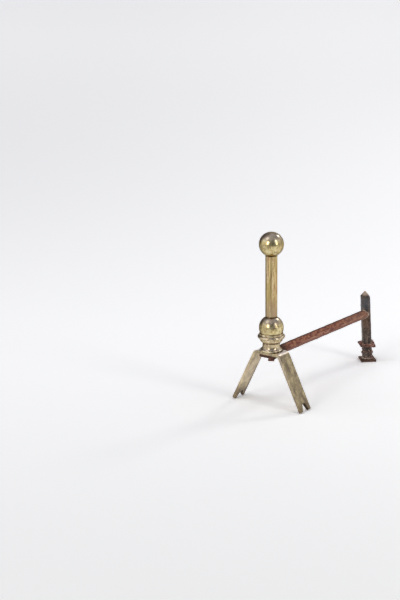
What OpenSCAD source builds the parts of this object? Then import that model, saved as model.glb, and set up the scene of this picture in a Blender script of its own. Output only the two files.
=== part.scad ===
// Andiron with a turned brass front and a forged iron billet bar.
// X runs across the spread of the legs, Y runs back along the bar, Z is up.
// The origin is on the hearth, in the middle of the whole footprint.

/* [Overall] */
// Height of the top of the finial ball above the hearth
overall_h = 418; // [390:0.5:470]
// Distance from the axis of the column back to the foot of the rear post
bar_run = 424.5; // [360:0.5:520]
// Height of the flat top of the leg strap
leg_h = 133; // [125:0.5:150]

/* [Finial ball and column] */
// Diameter of the finial ball
finial_d = 58.5; // [50:0.5:66]
// Outside diameter of the column tube
column_d = 28; // [22:0.5:34]
// Wall of the column tube
column_wall = 3; // [2:0.25:5]
// Size of the small bevel that makes a dark ring under the finial ball
column_bevel = 1.1; // [0.4:0.1:2]
// Width of the ledge left round the column where it sits on a ball
seat_ledge = 0.5; // [0.2:0.1:1.5]

/* [Knop ball, cup and pedestal] */
// Diameter of the knop ball under the column
knop_d = 58.5; // [52:0.5:64]
// Height of the centre of the knop ball above the cup on which its flat sits
knop_rise = 12.4; // [8:0.2:18]
// Diameter of the cup at its rounded lip
cup_d = 64.5; // [62:0.5:72]
// Height of the cup
cup_h = 24; // [22:0.5:28]
// Height of the centre of the lip above the bottom of the cup
lip_z = 15.4; // [13.5:0.1:17]
// Radius of the rounded lip of the cup
lip_r = 4; // [3:0.1:4.4]
// Width of the ledge left round the knop ball at the top edge of the cup
cup_ledge = 1.5; // [0.5:0.25:3]
// Diameter at the small end of the bowl of the cup
cup_neck_d = 44; // [41:0.5:46]
// Diameter of the pedestal at its foot
pedestal_d = 52; // [48:0.5:56]
// Diameter of the narrow neck of the pedestal
neck_d = 41; // [38:0.5:42]
// Height of the pedestal
pedestal_h = 19.5; // [17:0.5:24]
// Radius of the rounded edge of the pedestal foot
foot_bead_r = 2.6; // [1.8:0.1:3]
// Height of the neck above the flare, up to the cup
neck_run = 7; // [4:0.5:9]
// Size of the bevel at the top of the neck, which makes a dark ring under the cup
neck_bevel = 0.8; // [0.4:0.1:1.5]

/* [Leg strap] */
// Width of the strap
strap_w = 40; // [34:0.5:46]
// Thickness of the strap
strap_t = 8; // [6:0.5:10]
// Length of the flat top between the two bends
strap_flat = 54; // [50:0.5:62]
// Inside radius of each bend
bend_r = 6; // [4:0.5:10]
// Slant of each leg from upright, in degrees
leg_slant = 26.5; // [18:0.5:32]
// Width of the notch in each toe at the hearth
notch_w = 24; // [14:0.5:28]
// Depth of the notch up the leg
notch_d = 19; // [14:0.5:26]
// Radius at the root of the notch
notch_r = 6; // [3:0.25:6.5]

/* [Billet bar] */
// Side of the square bar, which lies on edge
bar_w = 18.5; // [15:0.5:21]
// Thickness of the flat palm under the leg strap
palm_t = 7; // [4:0.5:8]
// Width of the palm across the bar
palm_w = 44; // [36:0.5:50]
// Distance that the palm runs past the back edge of the strap before the bar swells
palm_tail = 8; // [6:0.5:12]
// Length of the sloping shoulder between the palm and the full bar
shoulder_l = 13; // [8:0.5:24]
// Diameter of the round tenon that holds the bar in the rear post
tenon_d = 10; // [7:0.5:11]

/* [Tie rod and nut] */
// Diameter of the iron rod that draws the brass pieces together
rod_d = 8; // [6:0.5:10]
// Radial clearance of the rod in the pieces it passes through
rod_gap = 0.3; // [0.1:0.05:0.6]
// Depth of the rod inside the finial ball
rod_grip = 18; // [12:0.5:30]
// Width of the nut across its flats
nut_af = 13; // [12:0.5:17]
// Height of the nut
nut_h = 8; // [5:0.5:10]
// Length of rod left showing under the nut
rod_stub = 3; // [1:0.5:6]

/* [Rear post] */
// Side of the square post, which stands on edge to the bar
post_w = 22; // [20:0.5:26]
// Length of the post from the hearth to its tip
post_h = 186.5; // [165:0.5:210]
// Height of the pyramid at the top of the post
tip_h = 14; // [8:0.5:20]
// Lean of the post toward the column, in degrees
post_rake = 5; // [0:0.5:7]
// Side of the square collar on the post
collar_w = 38; // [34:0.5:44]
// Thickness of the collar at the post
collar_t = 7.5; // [5:0.5:10]
// Height of the middle of the collar along the post
collar_z = 45; // [38:0.5:60]
// Side of the square foot plate
plate_w = 38.5; // [36:0.5:46]
// Height of the upright rim of the foot plate
plate_rim = 5; // [3:0.5:6]
// Height of the sloping top of the foot plate above its rim
plate_slope = 3; // [1.5:0.5:5]
// Diameter of the raised boss on which the post stands
boss_d = 29; // [26:0.5:30]
// Height of the raised boss
boss_h = 2.5; // [1.5:0.5:4]
// Side of the square peg that holds the post in the foot plate
peg_w = 12; // [9:0.5:14]
// Clearance on each side where iron pieces slide together
iron_gap = 0.1; // [0.05:0.05:0.25]

/* [Hidden] */
$fn = 96;
over = 0.5;
far = 400;

// Places along the bar, measured so that the footprint is centred on the origin
plate_half_diag = plate_w / sqrt(2);
front_r = max(cup_d, strap_w) / 2;
depth_all = front_r + bar_run + plate_half_diag;
column_y = front_r - depth_all / 2;
post_y = column_y + bar_run;

// Heights up the column
cup_z = leg_h + pedestal_h;
cup_top_z = cup_z + cup_h;
knop_r = knop_d / 2;
knop_z = cup_top_z + knop_rise;
cup_top_r = sqrt(knop_r * knop_r - knop_rise * knop_rise) + cup_ledge;
column_seat_r = column_d / 2 + seat_ledge;
column_bottom_z = hundredth(knop_z + sqrt(knop_r * knop_r - column_seat_r * column_seat_r));
finial_r = finial_d / 2;
finial_z = overall_h - finial_r;
column_top_z = hundredth(finial_z - sqrt(finial_r * finial_r - column_seat_r * column_seat_r));
bore_r = rod_d / 2 + rod_gap;

// The leg strap: centre of the right-hand bend and the length of the straight leg below it
bend_x = strap_flat / 2;
bend_out_r = bend_r + strap_t;
bend_z = leg_h - bend_out_r;
leg_len = (bend_z + bend_r * sin(leg_slant)) / cos(leg_slant);
bend_steps = 16;

// The bar lies on edge with its axis just above the underside of the strap
palm_top_z = leg_h - strap_t;
palm_z = palm_top_z - palm_t;
palm_corner = 4;
bar_half_diag = bar_w / sqrt(2);
bar_lift = 0.6;
bar_z = palm_top_z + bar_lift;
strap_back_y = column_y + strap_w / 2;
palm_front_y = column_y - strap_w / 2 + 0.5;
shoulder_y = strap_back_y + palm_tail;
post_bar_y = post_y - bar_z * tan(post_rake);
bar_length = post_bar_y - shoulder_y;
tenon_reach = 2;

// The foot of the post, which stands on the boss with its peg a little short of the hearth
boss_z = plate_rim + plate_slope;
post_foot_z = boss_z + boss_h;
peg_z = 0.5;
peg_y = -post_foot_z * tan(post_rake);

// Heights where two pieces meet are rounded, so that their flat faces lie in one plane
function hundredth(value) = round(value * 100) / 100;

// A square bar along Z with its four sides cut to the same profile, so that slopes stay flat faces
module square_profile(points, width) {
    intersection() {
        rotate([90, 0, 0])
            linear_extrude(height = width, center = true)
                polygon(points);
        rotate([90, 0, 90])
            linear_extrude(height = width, center = true)
                polygon(points);
    }
}

module at_column() {
    translate([0, column_y, 0])
        children();
}

// The frame of the rear post: turned on edge to the bar and leaning toward the column
module at_post() {
    translate([0, post_y, 0])
        rotate([post_rake, 0, 0])
            rotate([0, 0, 45])
                children();
}

module bore(from, to, r) {
    translate([0, 0, from])
        cylinder(h = to - from, r = r);
}

module finial_ball() {
    color("goldenrod")
        at_column()
            difference() {
                translate([0, 0, finial_z])
                    sphere(r = finial_r);
                translate([-far / 2, -far / 2, column_top_z - far])
                    cube([far, far, far]);
                bore(column_top_z - over, column_top_z + rod_grip + 1, rod_d / 2 + iron_gap);
            }
}

module column() {
    r = column_d / 2;
    low = column_bottom_z;
    high = column_top_z;
    color("darkgoldenrod")
        at_column()
            rotate_extrude()
                polygon([[r - column_wall, low], [r, low], [r, high - column_bevel],
                         [r - column_bevel, high], [r - column_wall, high]]);
}

module knop_ball() {
    color("goldenrod")
        at_column()
            difference() {
                translate([0, 0, knop_z])
                    sphere(r = knop_r);
                translate([-far / 2, -far / 2, cup_top_z - far])
                    cube([far, far, far]);
                translate([-far / 2, -far / 2, column_bottom_z])
                    cube([far, far, far]);
                bore(cup_top_z - over, column_bottom_z + over, bore_r);
            }
}

// The bowl swells gently between the foot of the cup and the groove under the lip
module bowl_profile(groove_r, groove_z) {
    low_r = cup_neck_d / 2;
    low_z = 1.6;
    bevel = 1;
    swell = 1.6;
    run = [groove_r - low_r, groove_z - low_z];
    chord = norm(run);
    swell_r = (chord * chord / 4 + swell * swell) / (2 * swell);
    outward = [run[1], -run[0]] / chord;
    middle = [groove_r + low_r, groove_z + low_z] / 2;
    intersection() {
        translate(middle - outward * (swell_r - swell))
            circle(r = swell_r);
        translate([bore_r, low_z])
            square([cup_d / 2 - bore_r, groove_z - low_z]);
    }
    polygon([[bore_r, 0], [low_r - 2 * bevel, 0], [low_r, bevel], [low_r, low_z + over / 5],
             [bore_r, low_z + over / 5]]);
}

// Above the bowl: the groove, the rounded lip and the upright collar round the knop ball
module lip_profile(groove_r, groove_z) {
    lip_x = cup_d / 2 - lip_r;
    waist_r = groove_r - 0.5;
    bevel = 0.6;
    translate([lip_x, lip_z])
        circle(r = lip_r);
    polygon([[bore_r, groove_z - over / 5], [waist_r, groove_z - over / 5], [waist_r, lip_z],
             [cup_top_r, lip_z], [cup_top_r, cup_h - bevel], [cup_top_r - bevel, cup_h],
             [bore_r, cup_h]]);
}

module cup() {
    groove_in = 1.3;
    groove_r = cup_d / 2 - lip_r - groove_in;
    groove_z = lip_z - lip_r - 0.4;
    color("darkgoldenrod")
        at_column()
            translate([0, 0, cup_z])
                rotate_extrude()
                    union() {
                        bowl_profile(groove_r, groove_z);
                        lip_profile(groove_r, groove_z);
                    }
}

// The flare of the foot: a quarter hollow from the neck down to the rounded edge
module flare_profile(low, high) {
    neck_r = neck_d / 2;
    flare_r = pedestal_d / 2 - 0.8 * foot_bead_r;
    drop = high - low;
    reach = flare_r - neck_r;
    hollow_r = (drop * drop + reach * reach) / (2 * reach);
    difference() {
        translate([bore_r, foot_bead_r / 4])
            square([flare_r - bore_r, high - foot_bead_r / 4]);
        translate([neck_r + hollow_r, high])
            circle(r = hollow_r);
    }
}

module pedestal() {
    neck_r = neck_d / 2;
    foot_r = pedestal_d / 2;
    neck_top = pedestal_h;
    flare_high = neck_top - neck_run;
    color("goldenrod")
        at_column()
            translate([0, 0, leg_h])
                rotate_extrude()
                    union() {
                        flare_profile(2 * foot_bead_r, flare_high);
                        polygon([[bore_r, flare_high - over], [neck_r, flare_high - over],
                                 [neck_r, neck_top - neck_bevel],
                                 [neck_r - neck_bevel, neck_top], [bore_r, neck_top]]);
                        translate([foot_r - foot_bead_r, foot_bead_r])
                            circle(r = foot_bead_r);
                        translate([bore_r, 0])
                            square([foot_r - foot_bead_r - bore_r, 2 * foot_bead_r]);
                    }
}

// Points on an arc that runs clockwise from one compass direction to another
function arc_points(centre, r, from, to) =
    [for (i = [0 : bend_steps])
        let (turn = from + (to - from) * i / bend_steps)
        centre + r * [sin(turn), cos(turn)]];

// Right-hand half of the strap outline, from the middle of the top round to the toe and back
function strap_half() =
    let (bend = [bend_x, bend_z],
         out = [cos(leg_slant), sin(leg_slant)],
         down = [sin(leg_slant), -cos(leg_slant)])
    concat(arc_points(bend, bend_out_r, 0, 90 - leg_slant),
           [bend + bend_out_r * out + leg_len * down, bend + bend_r * out + leg_len * down],
           arc_points(bend, bend_r, 90 - leg_slant, 0));

function mirrored(points) =
    [for (i = [len(points) - 1 : -1 : 0]) [-points[i][0], points[i][1]]];

// The notch is cut in the frame of one leg, with its mouth at the toe
module toe_notch() {
    mid_r = bend_r + strap_t / 2;
    root_z = notch_d - notch_r;
    translate([bend_x, 0, bend_z])
        rotate([0, -leg_slant, 0])
            translate([mid_r, 0, -leg_len])
                rotate([90, 0, 90])
                    linear_extrude(height = 2 * strap_t, center = true)
                        union() {
                            polygon([[-notch_w / 2, -over], [notch_w / 2, -over], [notch_w / 2, 0],
                                     [notch_r, root_z], [-notch_r, root_z], [-notch_w / 2, 0]]);
                            translate([0, root_z])
                                circle(r = notch_r);
                        }
}

module leg_strap() {
    color("olive")
        at_column()
            difference() {
                rotate([90, 0, 0])
                    linear_extrude(height = strap_w, center = true)
                        polygon(concat(strap_half(), mirrored(strap_half())));
                toe_notch();
                mirror([1, 0, 0])
                    toe_notch();
                bore(palm_top_z - over, leg_h + over, bore_r);
            }
}

module tie_rod() {
    color("dimgray")
        at_column()
            bore(palm_z - nut_h - rod_stub, column_top_z + rod_grip, rod_d / 2);
}

module rod_nut() {
    color("saddlebrown")
        at_column()
            translate([0, 0, palm_z - nut_h])
                difference() {
                    intersection() {
                        cylinder(h = nut_h, r = nut_af / sqrt(3), $fn = 6);
                        cylinder(h = nut_h, r1 = nut_af / 2, r2 = nut_af / 2 + nut_h);
                    }
                    bore(-over, nut_h + over, rod_d / 2 + iron_gap);
                }
}

// The outline of the post and the space it takes in other pieces
module post_stock(low) {
    half = post_w / 2;
    flat = 0.9;
    shoulder = post_h - tip_h;
    square_profile([[-half, low], [half, low], [half, shoulder], [flat, post_h],
                    [-flat, post_h], [-half, shoulder]], post_w);
}

module bar_tenon(gap, reach) {
    translate([0, post_bar_y - post_w, bar_z])
        rotate([-90, 0, 0])
            cylinder(h = post_w + reach, r = tenon_d / 2 + gap);
}

module billet_bar() {
    color("sienna")
        union() {
            difference() {
                translate([0, shoulder_y, bar_z])
                    rotate([-90, 0, 0])
                        rotate([0, 0, 45])
                            translate([-bar_w / 2, -bar_w / 2, 0])
                                cube([bar_w, bar_w, bar_length]);
                at_post()
                    post_stock(0);
                shoulder_cut();
            }
            difference() {
                translate([0, 0, palm_z])
                    linear_extrude(height = palm_t)
                        palm_outline();
                at_column()
                    bore(palm_z - over, palm_top_z + over, bore_r);
            }
            bar_tenon(0, tenon_reach);
        }
}

// The palm is square at the front and draws in to the width of the bar behind the strap
module palm_outline() {
    half = palm_w / 2;
    inner = half - palm_corner;
    front = palm_front_y + palm_corner;
    back = shoulder_y + shoulder_l;
    waist = bar_half_diag / 2;
    turn = palm_corner / 2;
    polygon([[-half, front], [-inner, palm_front_y], [inner, palm_front_y], [half, front],
             [half, strap_back_y - turn], [inner, strap_back_y + turn], [waist, back],
             [-waist, back], [-inner, strap_back_y + turn], [-half, strap_back_y - turn]]);
}

// Everything above the slope from the palm up to the top edge of the bar
module shoulder_cut() {
    top = bar_z + bar_half_diag + over;
    front = shoulder_y - over;
    rotate([90, 0, 90])
        linear_extrude(height = far, center = true)
            polygon([[front, palm_top_z], [shoulder_y, palm_top_z], [shoulder_y + shoulder_l, top],
                     [front, top]]);
}

module rear_post() {
    color("dimgray")
        union() {
            difference() {
                at_post()
                    post_stock(-post_foot_z);
                translate([-far / 2, post_y - far / 2, post_foot_z - far])
                    cube([far, far, far]);
                bar_tenon(iron_gap, tenon_reach + iron_gap);
            }
            translate([0, post_y + peg_y, peg_z])
                rotate([0, 0, 45])
                    translate([-peg_w / 2, -peg_w / 2, 0])
                        cube([peg_w, peg_w, post_foot_z]);
        }
}

module post_collar() {
    half = collar_w / 2;
    flat = half - 5;
    rim = 1.5;
    side = post_w + 2 * iron_gap;
    color("sienna")
        at_post()
            translate([0, 0, collar_z])
                difference() {
                    square_profile([[-half, -rim], [-flat, -collar_t / 2], [flat, -collar_t / 2],
                                    [half, -rim], [half, rim], [flat, collar_t / 2],
                                    [-flat, collar_t / 2], [-half, rim]], collar_w);
                    translate([-side / 2, -side / 2, -collar_t])
                        cube([side, side, 2 * collar_t]);
                }
}

module foot_plate() {
    half = plate_w / 2;
    flat = half - 4;
    hole = peg_w + 2 * iron_gap;
    color("saddlebrown")
        translate([0, post_y, 0])
            difference() {
                union() {
                    rotate([0, 0, 45])
                        square_profile([[-half, 0], [half, 0], [half, plate_rim], [flat, boss_z],
                                        [-flat, boss_z], [-half, plate_rim]], plate_w);
                    translate([0, peg_y, boss_z - over])
                        cylinder(h = boss_h + over, r = boss_d / 2);
                }
                translate([0, peg_y, 0])
                    rotate([0, 0, 45])
                        translate([-hole / 2, -hole / 2, -over])
                            cube([hole, hole, post_foot_z + 2 * over]);
            }
}

finial_ball();
column();
knop_ball();
cup();
pedestal();
leg_strap();
tie_rod();
rod_nut();
billet_bar();
rear_post();
post_collar();
foot_plate();
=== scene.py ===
"""The looks of a brass and iron andiron: forged, turned and worn pieces round the fixed frame."""

import math

import bpy
from mathutils import Matrix, Vector


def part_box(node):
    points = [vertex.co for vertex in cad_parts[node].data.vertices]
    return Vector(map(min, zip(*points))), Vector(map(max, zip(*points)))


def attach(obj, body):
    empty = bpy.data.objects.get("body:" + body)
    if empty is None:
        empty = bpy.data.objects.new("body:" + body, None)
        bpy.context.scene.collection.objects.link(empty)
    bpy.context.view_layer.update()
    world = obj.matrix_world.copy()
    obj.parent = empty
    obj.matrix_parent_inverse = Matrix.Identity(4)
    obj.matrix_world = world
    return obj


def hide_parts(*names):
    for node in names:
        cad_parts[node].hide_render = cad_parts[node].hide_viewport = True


MM = 0.001
# How close to a place a face or a point lies when it counts as being there
NEAR = 0.1 * MM

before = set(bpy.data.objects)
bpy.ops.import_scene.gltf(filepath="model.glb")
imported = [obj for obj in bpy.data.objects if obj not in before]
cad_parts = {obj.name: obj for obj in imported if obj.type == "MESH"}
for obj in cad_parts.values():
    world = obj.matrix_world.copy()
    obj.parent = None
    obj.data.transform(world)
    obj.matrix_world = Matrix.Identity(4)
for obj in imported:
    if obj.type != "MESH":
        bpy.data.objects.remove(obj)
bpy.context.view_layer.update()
scene = bpy.context.scene

# Places that the frame gives, in metres
column_low, column_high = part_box("column")
strap_low, strap_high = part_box("leg_strap")
bar_low, bar_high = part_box("billet_bar")
post_low, post_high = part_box("rear_post")
collar_low, collar_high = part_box("post_collar")
plate_low, plate_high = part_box("foot_plate")
nut_low, nut_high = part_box("rod_nut")
rod_low, rod_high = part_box("tie_rod")
finial_low, finial_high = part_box("finial_ball")
knop_low, knop_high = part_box("knop_ball")
cup_low, cup_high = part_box("cup")
pedestal_low, pedestal_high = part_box("pedestal")
COLUMN_Y = (column_low.y + column_high.y) / 2
PLATE_Y = (plate_low.y + plate_high.y) / 2
BAR_Z = (bar_low.z + bar_high.z) / 2
PEDESTAL_R = (pedestal_high.x - pedestal_low.x) / 2


# ---------------------------------------------------------------- modelling by hand


def only(piece):
    """Makes one piece the active one, alone in the selection."""
    bpy.ops.object.select_all(action="DESELECT")
    piece.select_set(True)
    bpy.context.view_layer.objects.active = piece


def settle(piece):
    """Puts a piece's place, turn and size into its mesh."""
    only(piece)
    bpy.ops.object.transform_apply(location=True, rotation=True, scale=True)


def put(piece, place=(0, 0, 0), turn=(0, 0, 0)):
    """Turns a piece made at the origin, and moves it to its place."""
    piece.location = place
    piece.rotation_euler = turn
    settle(piece)


def begin(name, primitive, **settings):
    """Adds a primitive under its own name, with its place in its mesh."""
    bpy.ops.object.select_all(action="DESELECT")
    primitive(**settings)
    piece = bpy.context.object
    piece.name = name
    piece.data.name = name
    settle(piece)
    return piece


def block(name, middle, size):
    """A cube stretched to a block, as the start of a squared piece or of a cutter."""
    return begin(name, bpy.ops.mesh.primitive_cube_add, size=1, location=middle, scale=size)


def pick(piece, kind, test):
    """Goes into edit mode with only the faces or points selected whose middle passes the test."""
    only(piece)
    bpy.ops.object.mode_set(mode="EDIT")
    bpy.ops.mesh.select_mode(type="FACE" if kind == "faces" else "VERT")
    bpy.ops.mesh.select_all(action="DESELECT")
    bpy.ops.object.mode_set(mode="OBJECT")
    if kind == "faces":
        for face in piece.data.polygons:
            face.select = test(face.center)
    else:
        for point in piece.data.vertices:
            point.select = test(point.co)
    bpy.ops.object.mode_set(mode="EDIT")


def pick_all(piece):
    only(piece)
    bpy.ops.object.mode_set(mode="EDIT")
    bpy.ops.mesh.select_all(action="SELECT")


def done():
    bpy.ops.object.mode_set(mode="OBJECT")


def finish_with(piece, kind, **settings):
    """Adds one modifier and applies it."""
    modifier = piece.modifiers.new(kind.lower(), kind)
    for key, value in settings.items():
        setattr(modifier, key, value)
    only(piece)
    bpy.ops.object.modifier_apply(modifier=modifier.name)


def cut_away(piece, cutter, how="DIFFERENCE"):
    """Cuts one solid with another, which is then thrown away."""
    finish_with(piece, "BOOLEAN", object=cutter, operation=how, solver="EXACT")
    bpy.data.objects.remove(cutter)


def cut_rings(piece, axis, start, stop, step=4 * MM):
    """Cuts the mesh across at even places, so that a long face can take a hammered surface."""
    normal = Vector(axis).normalized()
    place = start
    pick_all(piece)
    while place < stop:
        bpy.ops.mesh.select_all(action="SELECT")
        bpy.ops.mesh.bisect(plane_co=normal * place, plane_no=normal)
        place += step
    done()


def hammer(piece, grain_size, depth, detail=2, level=0.75):
    """Works the surface in and out by a soft cloud of a given grain. A level of 1 only goes
    inward."""
    cloud = bpy.data.textures.new(piece.name + "_cloud", "CLOUDS")
    cloud.noise_scale = grain_size
    cloud.noise_depth = detail
    settings = {"texture_coords": "LOCAL", "strength": depth, "mid_level": level}
    finish_with(piece, "DISPLACE", texture=cloud, **settings)


def soften(piece, width, degrees=35):
    """Rounds every edge that is sharper than the given angle."""
    settings = {"limit_method": "ANGLE", "angle_limit": math.radians(degrees)}
    finish_with(piece, "BEVEL", width=width, segments=3, **settings)


def true_up(piece, low, high, axes="xy"):
    """Stretches a piece along the given axes until it fills the box that the frame gives for it."""
    points = [point.co for point in piece.data.vertices]
    share, middle = Vector((1, 1, 1)), Vector((0, 0, 0))
    for axis in axes:
        first, last = (f([getattr(point, axis) for point in points]) for f in (min, max))
        wanted_first, wanted_last = getattr(low, axis), getattr(high, axis)
        scale = (wanted_last - wanted_first) / (last - first)
        setattr(share, axis, scale)
        setattr(middle, axis, wanted_first - first * scale)
    piece.scale = share
    piece.location = middle
    settle(piece)


def smooth(piece, degrees=35):
    only(piece)
    bpy.ops.object.shade_smooth_by_angle(angle=math.radians(degrees))


def outward(piece):
    """Merges doubles and points every face outwards."""
    pick_all(piece)
    bpy.ops.mesh.remove_doubles(threshold=0.01 * MM)
    bpy.ops.mesh.normals_make_consistent(inside=False)
    done()


def turned(name, profile, axis_y=COLUMN_Y, steps=128):
    """A solid turned on an upright axis: a ring that is extruded and resized along the profile,
    which runs upwards as (radius, height) in metres."""
    radius, height = profile[0]
    piece = begin(
        name,
        bpy.ops.mesh.primitive_circle_add,
        vertices=steps,
        radius=radius,
        fill_type="NGON",
        location=(0, axis_y, height),
    )
    pick_all(piece)
    for new_radius, new_height in profile[1:]:
        rise = (0, 0, new_height - height)
        bpy.ops.mesh.extrude_region_move(TRANSFORM_OT_translate={"value": rise})
        share, centre = new_radius / radius, (0, axis_y, new_height)
        bpy.ops.transform.resize(value=(share, share, 1), center_override=centre)
        radius, height = new_radius, new_height
    done()
    outward(piece)
    return piece


def arc(centre, radius, start, stop, steps):
    """Points (radius, height) on an arc of a profile, with angles in degrees from straight out."""
    angles = [math.radians(start + (stop - start) * i / steps) for i in range(steps + 1)]
    return [(centre[0] + radius * math.cos(a), centre[1] + radius * math.sin(a)) for a in angles]


# ---------------------------------------------------------------- materials


def colour(hexcode):
    """An sRGB hex colour as linear red, green, blue and alpha."""
    parts = [int(hexcode[i : i + 2], 16) / 255 for i in (1, 3, 5)]
    linear = [c / 12.92 if c <= 0.04045 else ((c + 0.055) / 1.055) ** 2.4 for c in parts]
    return (*linear, 1.0)


def add(tree, kind, inputs=None, out=0, stops=(), **settings):
    """Adds one node with its settings and links, and gives back one of its outputs. An input is a
    number, a vector, a hex colour or the output that feeds it."""
    new = tree.nodes.new("ShaderNode" + kind)
    for key, value in settings.items():
        setattr(new, key, value)
    for key, value in (inputs or {}).items():
        if isinstance(value, bpy.types.NodeSocket):
            tree.links.new(value, new.inputs[key])
        else:
            new.inputs[key].default_value = colour(value) if isinstance(value, str) else value
    for i, (place, tone) in enumerate(stops):
        if i >= len(new.color_ramp.elements):
            new.color_ramp.elements.new(place)
        new.color_ramp.elements[i].position = place
        new.color_ramp.elements[i].color = colour(tone)
    return new.outputs[out] if len(new.outputs) else new


def grain(place, size_mm, detail=4, roughness=0.6):
    """Inputs of a noise whose grain is about the given size on the object."""
    scale = 1 / (size_mm * MM)
    return {"Vector": place, "Scale": scale, "Detail": detail, "Roughness": roughness}


def span(value, low, high, at_low=0.0, at_high=1.0):
    """Inputs that stretch the part of a value between low and high to a new range."""
    limits = {"From Min": low, "From Max": high, "To Min": at_low, "To Max": at_high}
    return {"Value": value, **limits}


# Settings of a soft step, of a mix of colours and of sums
SOFT = {"interpolation_type": "SMOOTHSTEP"}
PAINT = {"out": 2, "data_type": "RGBA"}
TIMES = {"operation": "MULTIPLY"}
PLUS = {"operation": "ADD"}
LARGER = {"operation": "MAXIMUM"}


def overlap(tree, *parts):
    """The product of shares. Each is an output, or a value with the limits that span takes."""
    product = None
    for part in parts:
        share = add(tree, "MapRange", span(*part), **SOFT) if isinstance(part, tuple) else part
        product = share if product is None else add(tree, "Math", {0: product, 1: share}, **TIMES)
    return product


def layered(tree, tone, *layers):
    """Lays colours over a tone, one after another. A layer is a colour and the shares that
    overlap where it lies."""
    for top, *parts in layers:
        tone = add(tree, "Mix", {0: overlap(tree, *parts), 6: tone, 7: top}, **PAINT)
    return tone


def distance(tree, value, middle=0.0):
    """How far a value lies from its middle, either way."""
    off = add(tree, "Math", {0: value, 1: middle}, operation="SUBTRACT")
    return add(tree, "Math", {0: off}, operation="ABSOLUTE")


def off_axis(tree, place, axis_y):
    """How far a place lies from an upright axis."""
    flat = {"Vector": place, "Location": (0, -axis_y, 0), "Scale": (1, 1, 0)}
    return add(tree, "VectorMath", {0: add(tree, "Mapping", flat)}, "Value", operation="LENGTH")


def edge_wear_and_light(tree, radius_mm, most=1.0):
    """Large on corners and edges, 0 on flat and hollow places."""
    rounded = add(tree, "Bevel", {"Radius": radius_mm * MM}, samples=6)
    true = add(tree, "NewGeometry", out="Normal")
    same = add(tree, "VectorMath", {0: rounded, 1: true}, "Value", operation="DOT_PRODUCT")
    return add(tree, "MapRange", span(same, 0.995, 0.86, 0.0, most), **SOFT)


def painted_corner_shade(tree, reach_mm):
    """Painted shade from ambient occlusion: large where another surface stands close, as in the
    corner where two pieces meet.
    """
    near = add(tree, "AmbientOcclusion", {"Distance": reach_mm * MM}, "AO", samples=8)
    return add(tree, "MapRange", span(near, 0.62, 0.2, 0.0, 0.8), **SOFT)


def new_material(name):
    made = bpy.data.materials.new(name)
    made.use_nodes = True
    made.node_tree.nodes.clear()
    return made, made.node_tree


def surfaced(made, tone, metallic, rough, reliefs, more=None):
    """Puts a material's tone, roughness and reliefs on its shader, with more of its sockets where
    the material needs them. A relief is a height, how strong it is and its depth in mm."""
    tree = made.node_tree
    bump = {}
    for height, strong, depth_mm in reliefs:
        relief = {"Height": height, "Strength": strong, "Distance": depth_mm * MM, **bump}
        bump = {"Normal": add(tree, "Bump", relief)}
    inputs = {"Base Color": tone, "Metallic": metallic, "Roughness": rough, **bump, **(more or {})}
    add(tree, "OutputMaterial", {"Surface": add(tree, "BsdfPrincipled", inputs)})
    return made


# Old lacquer and tarnish take the glare off brass seen at a low angle
LACQUER_EDGE = "#8f8270"
# Blender's wave repeats every 0.314 / scale metres
WAVE_LENGTH = 0.314


def polished_brass(name, body, film, shade_reach_mm):
    """Cast brass, turned and polished by hand: a clean mirror of warm yellow metal, clouded olive
    and brown where the cloth missed it, greyed above by dust and by painted light, with pinholes
    of stain, and painted shade darkening its corners. What is left of its lacquer lies over it as a
    thin glossy coat."""
    made, tree = new_material(name)
    place = add(tree, "TexCoord", out="Object")
    normal = add(tree, "NewGeometry", out="Normal")
    up = add(tree, "SeparateXYZ", {"Vector": normal}, "Z")
    clouds = add(tree, "TexNoise", grain(place, 22, 5, 0.6))
    mottle = add(tree, "TexNoise", grain(place, 8, 4, 0.6))
    specks = add(tree, "TexNoise", grain(place, 3.2, 4, 0.65))
    clean = add(tree, "ValToRGB", {"Fac": mottle}, stops=body)
    dull = add(tree, "ValToRGB", {"Fac": mottle}, stops=film)
    filmed = add(tree, "MapRange", span(clouds, 0.56, 0.44, 0.05, 0.7), **SOFT)
    shaded_corners = painted_corner_shade(tree, shade_reach_mm)
    tone = layered(
        tree,
        clean,
        (dull, filmed),
        ("#6b5636", (specks, 0.56, 0.66, 0.0, 0.6)),  # pinholes
        ("#d6c6b6", (up, 0.2, 0.8, 0.0, 0.7)),  # dust, and painted light: the upward faces paler, standing in for the ceiling's reflection
        ("#33261a", shaded_corners),  # painted shade in the corners, from ambient occlusion
    )
    # the marks of turning lie 1.4 mm apart, coarser than real so that they show
    marks = {"Vector": place, "Scale": WAVE_LENGTH / (1.4 * MM), "Distortion": 1.2, "Detail": 2.0}
    turning = add(tree, "TexWave", marks, "Fac", wave_type="BANDS", bands_direction="Z")
    shine = add(tree, "MapRange", span(mottle, 0.35, 0.65, 0.13, 0.24), **SOFT)
    dulled = add(tree, "Math", {0: filmed, 1: 0.1}, **TIMES)
    rough = add(tree, "Math", {0: shine, 1: dulled}, **PLUS)
    rough = add(tree, "Math", {0: rough, 1: shaded_corners}, **LARGER)
    reliefs = [(clouds, 0.1, 0.4), (mottle, 0.12, 0.1), (turning, 0.1, 0.02)]
    lacquer = {"Specular Tint": LACQUER_EDGE, "Coat Weight": 0.35, "Coat Roughness": 0.12}
    return surfaced(made, tone, 1.0, rough, reliefs, lacquer)


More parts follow.
